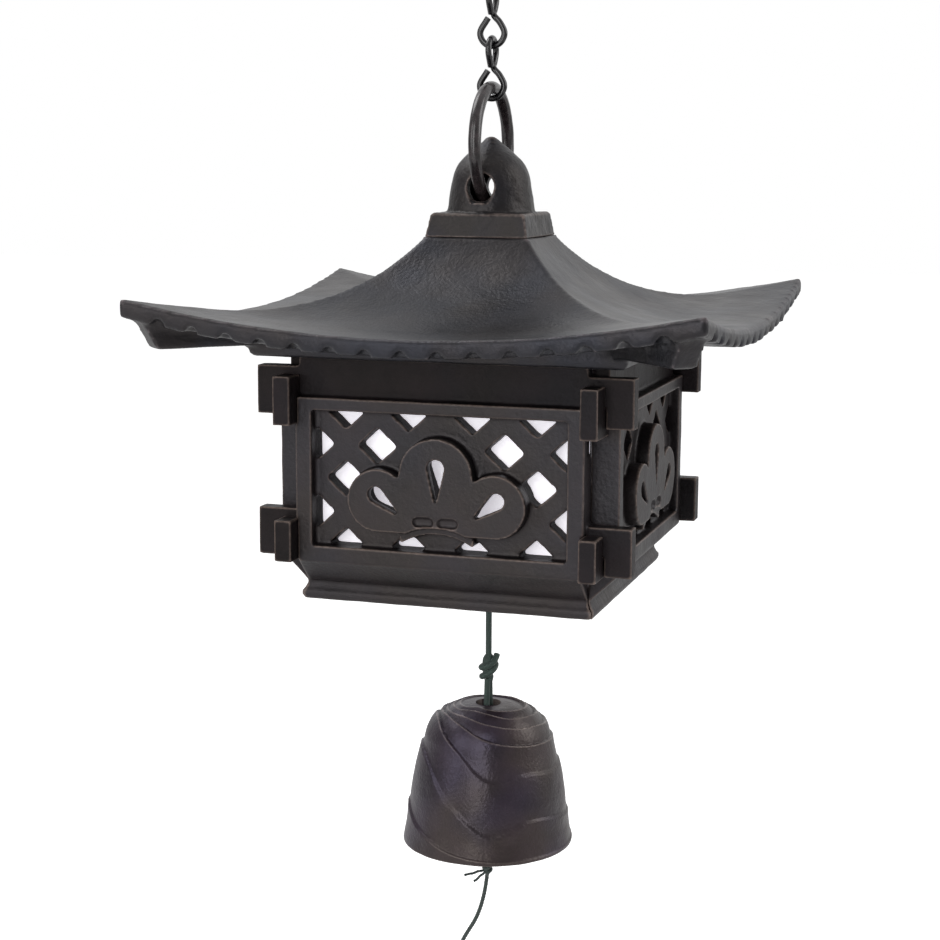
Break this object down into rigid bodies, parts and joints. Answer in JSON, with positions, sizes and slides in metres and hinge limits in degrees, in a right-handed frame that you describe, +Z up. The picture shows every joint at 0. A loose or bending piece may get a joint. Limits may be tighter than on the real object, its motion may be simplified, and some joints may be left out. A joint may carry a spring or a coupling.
{
  "type": "furin wind bell",
  "caption": "Cast-iron furin: a roofed lattice lantern on a ring and chain, with a small bell, clapper and paper wind strip hanging on cords below it",
  "frame": {"origin": "in the upper eye of the top chain link, on the underside of its wire, where a hook bears", "axes": "+Z up along the hanging line, X and Y square to the lantern's sides, front panel towards -Y"},
  "size_m": [0.13, 0.13, 0.3825],
  "materials": {
    "black_wire": "black",
    "cast_iron": "matte black",
    "bell_iron": "satin black",
    "steel": "plain",
    "paper": "white",
    "green_cord": "dark green braid",
    "thread": "dark green twist"
  },
  "bodies": {
    "chain_top": {"chain_link_top": "black_wire"},
    "chain_low": {"chain_link_low": "black_wire"},
    "ring": {"hanging_ring": "black_wire"},
    "lantern": {"finial": "cast_iron", "roof": "cast_iron", "panel_front": "cast_iron", "panel_right": "cast_iron", "panel_back": "cast_iron", "panel_left": "cast_iron", "liner_front": "paper", "liner_right": "paper", "liner_back": "paper", "liner_left": "paper", "clamp_stud": "steel", "tie_bar": "steel", "clamp_washer": "steel", "eye_nut": "steel"},
    "bell": {"cord_top_loop": "green_cord", "cord_top_knot": "green_cord", "bell_cord": "green_cord", "cord_knot": "green_cord", "bell_loop": "green_cord", "bell_pin": "steel", "bell": "bell_iron"},
    "clapper": {"thread_hitch": "thread", "clapper_thread": "thread", "clapper": "bell_iron", "thread_knot": "thread"},
    "thread": {"wind_thread": "thread"},
    "strip": {"strip_knot": "thread", "paper_strip": "paper"}
  },
  "joints": [
    {"name": "chain_swing", "type": "hinge", "parent": "chain_top", "child": "chain_low", "pos_m": [0, 0, -0.01315], "axis": [1, 0, 0], "range_deg": [-35, 35]},
    {"name": "ring_swing", "type": "hinge", "parent": "chain_low", "child": "ring", "pos_m": [0, 0, -0.02525], "axis": [1, 0, 0], "range_deg": [-35, 35]},
    {"name": "lantern_swing", "type": "hinge", "parent": "ring", "child": "lantern", "pos_m": [0, 0, -0.0459], "axis": [0, 1, 0], "range_deg": [-40, 40]},
    {"name": "bell_swing", "type": "hinge", "parent": "lantern", "child": "bell", "pos_m": [0, 0, -0.1047], "axis": [1, 0, 0], "range_deg": [-30, 30]},
    {"name": "clapper_swing", "type": "hinge", "parent": "bell", "child": "clapper", "pos_m": [0, 0, -0.17802], "axis": [0, 1, 0], "range_deg": [-19, 19]},
    {"name": "thread_swing", "type": "hinge", "parent": "clapper", "child": "thread", "pos_m": [0, 0, -0.2173], "axis": [1, 0, 0], "range_deg": [-30, 30]},
    {"name": "strip_turn", "type": "hinge", "parent": "thread", "child": "strip", "pos_m": [0, 0, -0.2537], "axis": [0, 0, 1], "range_deg": [-90, 90]}
  ]
}
